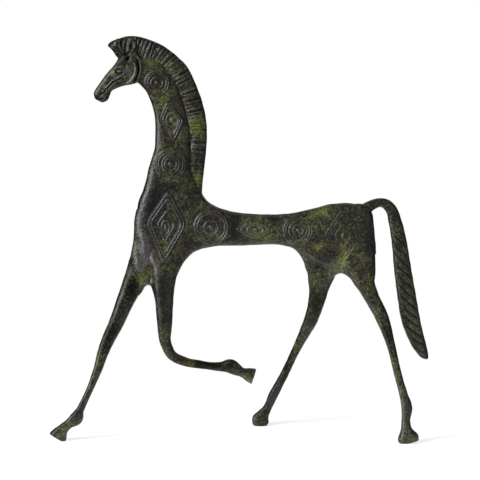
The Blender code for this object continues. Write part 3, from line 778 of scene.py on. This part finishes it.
def crest_place(x, z):
    """Of each (x, z): its distance along the crest, and its place across it, -1 inside to 1 outside.

    The place across is the share of the way from the inner edge to the outer one. The distance along
    is read from both edges and mixed by that share, so that a lock lies on the crest's own rulings.
    """
    middles, across, _ = mane_rows(CREST_STEPS)
    count = np.arange(len(middles))
    reach = distances(middles)
    found = []
    for edge in (middles - across, middles + across):
        edge_reach = distances(edge)
        at, offset = from_path(x, z, edge)
        found.append((np.interp(at, edge_reach, count), offset))
    (row_in, offset_in), (row_out, offset_out) = found
    from_inner, from_outer = np.clip(offset_in, 0.0, None), np.clip(-offset_out, 0.0, None)
    share = from_inner / np.maximum(from_inner + from_outer, 1e-6)
    return np.interp(row_in * (1 - share) + row_out * share, count, reach), 2.0 * share - 1.0


def carve_mane(relief):
    """Locks across the crest, from a wave of half of one plus the cosine of the distance along it.

    A ridge is the wave squared, and a groove is one less the wave, to the 2.2. Each lock has its own
    depth, and starts and ends at its own place across the crest.
    """
    middles, _, _ = mane_rows(CREST_STEPS)
    here = relief.near(middles, 9.0)
    x, z = relief.x[here], relief.z[here]
    at, across = crest_place(x, z)
    lean = LOCK_LEAN * soft_step(MANE_LENGTH_TOP - at, 0.0, 30.0)
    bold = 0.75 + 0.25 * soft_step(130.0 - at, 0.0, 60.0)
    around_ear = ((x - EAR_AT[0]) / EAR_CLEARING[0]) ** 2 + ((z - EAR_AT[1]) / EAR_CLEARING[1]) ** 2
    turn = np.arctan2(x - FORELOCK_FAN[0], z - FORELOCK_FAN[1])
    forelock = x < EAR_AT[0]
    at = np.where(forelock, FORELOCK_REACH * turn, at)
    bold = np.where(forelock, FORELOCK_BOLD, bold)
    for spacing, seed, share in LOCK_FAMILIES:
        phase = (at - lean * across) / (LOCK * spacing) + 0.5 * ripple(at * 0.5, seed)
        phase += 0.2 * ripple(across * 2.6 + at * 0.7, seed + 3.0)
        index = np.floor(phase)
        wave = 0.5 + 0.5 * np.cos(2 * math.pi * phase)
        start = -0.95 + 0.45 * scatter(index, seed)
        end = 0.5 + 0.5 * scatter(index, seed + 1.0)
        fade = soft_step(across, start, start + 0.25) * (1.0 - soft_step(across, end, end + 0.3))
        fade *= soft_step(around_ear, 0.8, 1.3)
        depth = share * LOCK_DEPTH * (0.5 + 0.7 * scatter(index, seed + 2.0)) * bold
        groove = -depth * (1.0 - wave) ** 2.2 * fade
        relief.cut[here] = np.minimum(relief.cut[here], groove)
        ridge = LOCK_RIDGE * bold * scatter(index + 0.5, seed + 5.0) * wave**2 * fade
        ridge *= soft_step(across, -0.7, -0.1)
        relief.raised[here] = np.maximum(relief.raised[here], ridge)
    relief.line(smooth_rows(MANE_EDGE, 4, axes=2), 1.4, 0.25)


def carve_tail(relief):
    """Overlapping locks down the tail: each groove falls to the right, and is a bell, exp of minus the
    squared share of its width, that is wide above its line and narrow below it.
    """
    rows = smooth_rows(TAIL, 6)
    path = rows[:, [0, 2]]
    here = relief.near(path, 8.0)
    z = relief.z[here]
    at, offset = from_path(relief.x[here], z, path)
    reach = distances(path)
    half = np.interp(at, reach, rows[:, 3])
    across = offset / half
    bent = 0.25 * half * across**2 + 0.5 * ripple(at * 0.4, 2.0)
    phase = (at - TAIL_SLANT * offset + bent) / TAIL_LOCK
    part = phase - np.floor(phase)
    main = np.exp(-((part / GROOVE_BELOW) ** 2)) + np.exp(-(((1.0 - part) / GROOVE_ABOVE) ** 2))
    fade = soft_step(across, -0.8, -0.5) * (1.0 - soft_step(across, 0.6, 0.95))
    fade *= soft_step(TAIL_TOP - z, 0.0, 4.0) * soft_step(z, 52.0, 60.0)
    groove = -TAIL_DEPTH * np.minimum(main, 1.0) * fade * (np.abs(across) < 1.05)
    relief.cut[here] = np.minimum(relief.cut[here], groove)


def carve_face(relief):
    """Eye, ear, brow, cheek, nostril and mouth."""
    for width, height, points in FACE_LINES:
        relief.line(smooth_rows(points, 6, axes=2), width, height)
    for width, depth, points in FACE_CUTS:
        relief.line(smooth_rows(points, 6, axes=2), width, -depth)
    relief.line(oval_path(*EYE, *EYE_LID), 1.1, 0.7, closed=True)
    relief.boss(*EYE, *EYE_BALL, 0.4)
    relief.line(oval_path(*EYE, *EYE_GROOVE), 1.0, -0.65, closed=True)
    relief.line(oval_path(*NOSTRIL), 0.8, 0.45, closed=True)
    relief.line(rounded_path(EAR_LEAF, 0.3), 1.2, 1.2, closed=True)
    x, z, half_a, half_b, depth = EAR_HOLLOW
    relief.mound(x, z, half_a, half_b, -depth)
    for swell in SWELLS:
        relief.mound(*swell)


def carving(points, side):
    """Heights of the whole carving on one face, at rows of (x, y, z) in mm."""
    relief = Relief(points[:, 0], points[:, 2])
    for width, height, path in FOLDS:
        relief.fold(smooth_rows(path, 4, axes=2), width, height)
    carve_ornaments(relief, side)
    carve_mane(relief)
    carve_tail(relief)
    carve_face(relief)
    return relief.total()


def patches(points, places):
    """Soft ovals of colour: the largest, over the places, of strength times exp of -0.7 r squared."""
    total = np.zeros(len(points))
    for x, z, half_a, half_b, strength in places:
        share = ((points[:, 0] - x) / half_a) ** 2 + ((points[:, 2] - z) / half_b) ** 2
        total = np.maximum(total, strength * np.exp(-0.7 * share))
    return total


def both_faces(points, normals):
    """The carving's height at every point, from the face that the point lies on.

    It fades out where the skin turns towards the plate's edge.
    """
    height = np.zeros(len(points))
    for side in (NEAR, FAR):
        facing = normals[:, 1] * side
        here = np.nonzero(facing > FACING[0])[0]
        height[here] = carving(points[here], side) * soft_step(facing[here], *FACING)
    return height


def hand_finish(points, amount):
    """Slow swells of a surface filed by hand: three crossed sine waves, 7 to 19 mm long."""
    x, y, z = points.T
    wave = np.sin(x * 0.61 + 1.3 * np.sin(z * 0.33)) * np.sin(z * 0.52 + 0.7)
    wave += 0.6 * np.sin(x * 0.35 - z * 0.71 + y * 0.5) + 0.4 * np.sin(x * 0.83 + z * 0.91 + 2.0)
    return amount * wave


def write_points(mesh, points):
    mesh.vertices.foreach_set("co", (points * MM).astype(np.float32).ravel())
    mesh.update()


def keep_in_box(points):
    """Points brought back inside the casting's own box, with its soles on the ground."""
    points = np.clip(points, HORSE_LOW, HORSE_HIGH)
    points[:, 2] = np.where(points[:, 2] < GROUND_SNAP, 0.0, points[:, 2])
    return points


def write_attribute(mesh, name, values):
    attribute = mesh.attributes.new(name, "FLOAT", "POINT")
    attribute.data.foreach_set("value", values.astype(np.float32))


def linear(code):
    """Linear red, green and blue from an sRGB hex colour."""
    parts = np.array([int(code[i : i + 2], 16) for i in (1, 3, 5)]) / 255.0
    low = parts / 12.92
    high = ((parts + 0.055) / 1.055) ** 2.4
    return tuple(np.where(parts <= 0.04045, low, high))


def opaque(colour):
    return (*colour, 1.0)


def add_node(tree, kind, values=None, **settings):
    """A node of that kind, with its settings, and each input set to a value or joined to an output."""
    made = tree.nodes.new(kind)
    for name, value in settings.items():
        setattr(made, name, value)
    for socket, value in (values or {}).items():
        if isinstance(value, bpy.types.NodeSocket):
            tree.links.new(value, made.inputs[socket])
        else:
            made.inputs[socket].default_value = value
    return made


def empty_material(name):
    material = bpy.data.materials.new(name)
    material.use_nodes = True
    material.node_tree.nodes.clear()
    return material


def patinated_bronze(skin):
    """Cast bronze, patinated near black and waxed.

    The eye sees a dark violet-brown skin under a grey-green film, yellow-green verdigris in patches and
    hollows, near-black dirt and painted shade in the grooves, and ridges rubbed smooth, painted a light
    violet-grey that is partly rubbed metal and partly painted highlight, which catch a cool, grainy light.
    """
    material = empty_material("cast_bronze_black_patina")
    tree = material.node_tree
    place = add_node(tree, "ShaderNodeTexCoord").outputs["Object"]

    def noise(size_mm, detail, roughness):
        values = {"Vector": place, "Scale": 1.0 / (size_mm * MM), "Detail": detail, "Roughness": roughness}
        return add_node(tree, "ShaderNodeTexNoise", values).outputs[0]

    def math_node(operation, a, b):
        return add_node(tree, "ShaderNodeMath", {0: a, 1: b}, operation=operation).outputs[0]

    def span(value, low, high, to_low=0.0, to_high=1.0):
        values = {0: value, 1: low, 2: high, 3: to_low, 4: to_high}
        return add_node(tree, "ShaderNodeMapRange", values, interpolation_type="SMOOTHSTEP").outputs[0]

    def weighed(parts):
        """The sum of the named layers, each times its own number."""
        total = None
        for name, weight in parts.items():
            part = math_node("MULTIPLY", layers[name], weight)
            total = part if total is None else math_node("ADD", total, part)
        return total

    def mixed(share, one, other):
        values = {0: share, 6: one, 7: other}
        return add_node(tree, "ShaderNodeMix", values, data_type="RGBA").outputs[2]

    def stored(name):
        return add_node(tree, "ShaderNodeAttribute", attribute_name=name).outputs["Fac"]

    brown = noise(skin.cloud_mm * BROWN_CLOUDS, 3.0, 0.6)
    relief = stored("relief")
    layers = {
        "drift": math_node("SUBTRACT", noise(skin.cloud_mm, 3.0, 0.55), 0.5),
        "mottle": noise(skin.mottle_mm, 4.0, 0.65),
        # Real sand grain is about 0.3 mm. It is drawn at over twice that, so that it shows in a picture.
        "grain": noise(skin.grain_mm, 3.0, 0.7),
        "verdigris": stored("verdigris"),
        "bare": stored("bare"),
    }

    film = mixed(span(brown, *BROWN_STEP), opaque(skin.film), opaque(skin.brown))
    colour = mixed(span(weighed(FILM_PARTS), *FILM_STEP), opaque(skin.dark), film)
    layers["crust"] = span(weighed(CRUST_PARTS), *CRUST_STEP)
    colour = mixed(layers["crust"], colour, opaque(skin.verdigris))
    # Painted shade, partly dirt: the grooves and hollows are coloured near black. The same mask also
    # roughens them.
    layers["hollow"] = span(relief, *HOLLOW_DIRT_AND_SHADE_STEP)
    colour = mixed(layers["hollow"], colour, opaque(skin.hollow))
    # Painted highlight, partly rubbed metal: the raised lines are coloured light violet-grey. The same mask
    # also makes them metallic.
    worn_and_highlight = math_node("MULTIPLY", span(relief, *WORN_AND_HIGHLIGHT_STEP), span(layers["grain"], *WORN_AND_HIGHLIGHT_GRAIN_STEP))
    colour = mixed(worn_and_highlight, colour, opaque(skin.worn_and_highlight))

    roughness = math_node("ADD", weighed(ROUGH_PARTS), skin.gloss_floor)
    shine = math_node("MULTIPLY", span(relief, *SHINE_STEP), span(stored("dull"), *DULL_STEP))
    pits = weighed(PIT_PARTS)
    bump = add_node(
        tree, "ShaderNodeBump", {"Height": pits, "Strength": skin.bump, "Distance": skin.pit_depth}
    ).outputs[0]

    shader = add_node(
        tree,
        "ShaderNodeBsdfPrincipled",
        {
            "Base Color": colour,
            "Metallic": worn_and_highlight,
            "Roughness": roughness,
            "Specular IOR Level": shine,
            "Normal": bump,
        },
    )
    add_node(tree, "ShaderNodeOutputMaterial", {"Surface": shader.outputs[0]})
    return material


def light_table(colour, glow):
    """A sheet of opal acrylic, lit from below as on a product table, so that shadows stay faint.

    The eye sees an even white ground without gloss.
    """
    material = empty_material("opal_acrylic_light_table")
    tree = material.node_tree
    values = {
        "Base Color": opaque(colour),
        "Roughness": 1.0,
        "Specular IOR Level": 0.0,
        "Emission Color": opaque(colour),
        "Emission Strength": glow,
    }
    shader = add_node(tree, "ShaderNodeBsdfPrincipled", values)
    add_node(tree, "ShaderNodeOutputMaterial", {"Surface": shader.outputs[0]})
    return material


def studio_room(world, shown, around):
    """A white room. What the camera sees of it is `shown` bright, and its light is `around`."""
    world.use_nodes = True
    tree = world.node_tree
    tree.nodes.clear()
    ray = add_node(tree, "ShaderNodeLightPath").outputs["Is Camera Ray"]
    light = add_node(tree, "ShaderNodeBackground", {"Color": (0.93, 0.95, 1.0, 1.0), "Strength": around})
    seen = add_node(tree, "ShaderNodeBackground", {"Color": (1.0, 1.0, 1.0, 1.0), "Strength": shown})
    both = add_node(tree, "ShaderNodeMixShader", {0: ray, 1: light.outputs[0], 2: seen.outputs[0]})
    add_node(tree, "ShaderNodeOutputWorld", {"Surface": both.outputs[0]})


def add_sun(name, towards, strength, softness, colour):
    """A soft lamp far off in the direction `towards`, seen from the horse."""
    lamp = bpy.data.lights.new(name, "SUN")
    lamp.energy = strength
    lamp.angle = math.radians(softness)
    lamp.color = colour
    made = bpy.data.objects.new(name, lamp)
    made.rotation_euler = Vector(towards).to_track_quat("Z", "Y").to_euler()
    bpy.context.scene.collection.objects.link(made)


class HorseCasting(PropertyGroup):
    sides: IntProperty(name="Sides", description="Points around a limb", default=72, min=12)
    steps: IntProperty(name="Steps", description="Rows between two stations of a limb", default=14, min=2)
    skin_step: FloatProperty(
        name="Skin step", description="Spacing of the fused skin's points", default=0.3 * MM, unit="LENGTH"
    )
    blending: IntProperty(
        name="Blending", description="Rounds of smoothing where limbs meet", default=22, min=0
    )
    hand_finish: FloatProperty(
        name="Hand finish", description="Height of the filed surface's slow swells", default=0.05 * MM,
        unit="LENGTH",
    )
    triangles: IntProperty(
        name="Triangles", description="Most triangles in the finished casting", default=196000, min=10000
    )


class HorsePatina(PropertyGroup):
    dark: FloatVectorProperty(
        name="Dark", description="Bare patina", subtype="COLOR", default=linear("#090805")
    )
    film: FloatVectorProperty(
        name="Film", description="Grey-green film over it", subtype="COLOR", default=linear("#4f5134")
    )
    brown: FloatVectorProperty(
        name="Brown", description="The film where it is brown", subtype="COLOR", default=linear("#443826")
    )
    verdigris: FloatVectorProperty(
        name="Verdigris", description="Crust in patches", subtype="COLOR", default=linear("#687025")
    )
    # Near black in the grooves and hollows: partly dirt, partly painted shade.
    hollow: FloatVectorProperty(
        name="Hollows", description="Dirt in the grooves", subtype="COLOR", default=linear("#050404")
    )
    # Light violet-grey on the raised lines: partly rubbed metal, partly painted highlight.
    worn_and_highlight: FloatVectorProperty(
        name="Worn", description="Ridges rubbed by hands", subtype="COLOR", default=linear("#6e6a72")
    )
    cloud_mm: FloatProperty(name="Clouds", description="Size of the film's clouds, in mm", default=11.0)
    mottle_mm: FloatProperty(name="Mottling", description="Size of the spots, in mm", default=1.9)
    grain_mm: FloatProperty(name="Grain", description="Size of the sand grain, in mm", default=0.9)
    gloss_floor: FloatProperty(name="Gloss", description="Least roughness", default=0.2, min=0.0, max=1.0)
    bump: FloatProperty(name="Bump", description="Strength of the pits", default=0.6, min=0.0, max=1.0)
    pit_depth: FloatProperty(
        name="Pit depth", description="Depth of the skin's pits", default=0.35 * MM, unit="LENGTH"
    )


class HorseStage(PropertyGroup):
    paper: FloatVectorProperty(
        name="Paper", description="The floor's colour", subtype="COLOR", default=linear("#fbfbfb")
    )
    glow: FloatProperty(name="Glow", description="Light that the floor gives itself", default=0.65, min=0.0)
    floor_reach: FloatProperty(
        name="Floor reach", description="From the middle to the floor's edge", default=0.17, unit="LENGTH"
    )
    key_light: FloatProperty(name="Key light", description="Strength, from the upper left", default=1.7)
    strip_light: FloatProperty(name="Strip light", description="Strength, from low left", default=1.9)
    fill_light: FloatProperty(name="Fill light", description="Strength, from the right", default=0.5)
    top_light: FloatProperty(name="Top light", description="Strength, from above", default=0.4)
    back_light: FloatProperty(name="Back light", description="Strength, from behind", default=0.15)
    room_light: FloatProperty(name="Room light", description="Light from all round", default=0.08)
    lens: FloatProperty(name="Lens", description="Focal length, in mm", default=120.0)
    distance: FloatProperty(
        name="Distance", description="From the camera to the plate", default=1.0, unit="LENGTH"
    )
    elevation: FloatProperty(
        name="Elevation", description="How far the camera looks down", default=math.radians(7.0),
        subtype="ANGLE",
    )
    aim_height: FloatProperty(
        name="Aim", description="Height of the picture's middle", default=125.05 * MM, unit="LENGTH"
    )


class MESH_OT_cast_bronze_horse(Operator):
    """Casts the horse: its limbs are fused into one skin, carved, thinned and patinated"""

    bl_idname = "mesh.cast_bronze_horse"
    bl_label = "Cast Bronze Horse"

    def execute(self, context):
        sizes = context.scene.horse_casting
        horse = joined("bronze_horse", horse_skins(sizes.sides, sizes.steps))

        fuse = horse.modifiers.new("fuse", "REMESH")
        fuse.mode = "VOXEL"
        fuse.voxel_size = sizes.skin_step
        blend = horse.modifiers.new("blend", "SMOOTH")
        blend.factor = 0.5
        blend.iterations = sizes.blending
        settle(horse)

        points, normals = read_points(horse.data, "co") / MM, read_points(horse.data, "normal")
        height = both_faces(points, normals) + hand_finish(points, sizes.hand_finish / MM)
        height[points[:, 2] < SOLE_TOP] = 0.0
        write_points(horse.data, keep_in_box(points + normals * height[:, None]))

        thin = horse.modifiers.new("thin", "DECIMATE")
        thin.ratio = min(1.0, sizes.triangles / (2 * len(horse.data.polygons)))
        settle(horse)

        points, normals = read_points(horse.data, "co") / MM, read_points(horse.data, "normal")
        write_points(horse.data, keep_in_box(points))
        write_attribute(horse.data, "relief", both_faces(points, normals))
        write_attribute(horse.data, "verdigris", patches(points, VERDIGRIS))
        write_attribute(horse.data, "bare", patches(points, BARE))
        write_attribute(horse.data, "dull", patches(points, DULL))
        horse.data.shade_smooth()
        horse.data.materials.clear()
        horse.data.materials.append(patinated_bronze(context.scene.horse_patina))
        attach(horse, "root")
        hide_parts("horse")
        return {"FINISHED"}


class SCENE_OT_set_horse_stage(Operator):
    """Lays the floor, hangs the lights and sets up the camera"""

    bl_idname = "scene.set_horse_stage"
    bl_label = "Set Horse Stage"

    def execute(self, context):
        stage = context.scene.horse_stage
        corner = np.array([[-1, -1, 0], [1, -1, 0], [1, 1, 0], [-1, 1, 0]]) * stage.floor_reach
        mesh = bpy.data.meshes.new("floor")
        mesh.from_pydata(corner, [], [(0, 1, 2, 3)])
        mesh.materials.append(light_table(stage.paper, stage.glow))
        floor = bpy.data.objects.new("floor", mesh)
        context.scene.collection.objects.link(floor)

        for name, towards, softness, colour in LIGHTS:
            add_sun(name, towards, getattr(stage, name + "_light"), softness, colour)
        world = bpy.data.worlds.new("studio")
        context.scene.world = world
        studio_room(world, 1.0, stage.room_light)
        context.scene.view_settings.view_transform = "Standard"

        camera = bpy.data.cameras.new("camera")
        camera.sensor_width = 36.0
        camera.lens = stage.lens
        holder = bpy.data.objects.new("camera", camera)
        back = Vector((0.0, -math.cos(stage.elevation), math.sin(stage.elevation)))
        holder.location = Vector((0.0, PLATE_Y * MM, stage.aim_height)) + back * stage.distance
        holder.rotation_euler = (math.pi / 2 - stage.elevation, 0.0, 0.0)
        context.scene.collection.objects.link(holder)
        context.scene.camera = holder
        return {"FINISHED"}


class VIEW3D_PT_bronze_horse(Panel):
    """Sizes and colours of the horse and its stage"""

    bl_idname = "VIEW3D_PT_bronze_horse"
    bl_label = "Bronze Horse"
    bl_space_type = "VIEW_3D"
    bl_region_type = "UI"
    bl_category = "Bronze Horse"

    def draw(self, context):
        for name in ("casting", "patina", "stage"):
            box = self.layout.box()
            box.label(text=name.capitalize())
            settings = getattr(context.scene, "horse_" + name)
            for key in settings.bl_rna.properties.keys():
                if key not in ("rna_type", "name"):
                    box.prop(settings, key)
        self.layout.operator(MESH_OT_cast_bronze_horse.bl_idname)
        self.layout.operator(SCENE_OT_set_horse_stage.bl_idname)


CLASSES = (
    HorseCasting,
    HorsePatina,
    HorseStage,
    MESH_OT_cast_bronze_horse,
    SCENE_OT_set_horse_stage,
    VIEW3D_PT_bronze_horse,
)


def register():
    for made in CLASSES:
        bpy.utils.register_class(made)
    bpy.types.Scene.horse_casting = PointerProperty(type=HorseCasting)
    bpy.types.Scene.horse_patina = PointerProperty(type=HorsePatina)
    bpy.types.Scene.horse_stage = PointerProperty(type=HorseStage)


def unregister():
    del bpy.types.Scene.horse_stage
    del bpy.types.Scene.horse_patina
    del bpy.types.Scene.horse_casting
    for made in reversed(CLASSES):
        bpy.utils.unregister_class(made)


def main():
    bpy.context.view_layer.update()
    register()
    bpy.ops.mesh.cast_bronze_horse()
    bpy.ops.scene.set_horse_stage()
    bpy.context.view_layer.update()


if __name__ == "__main__":
    main()
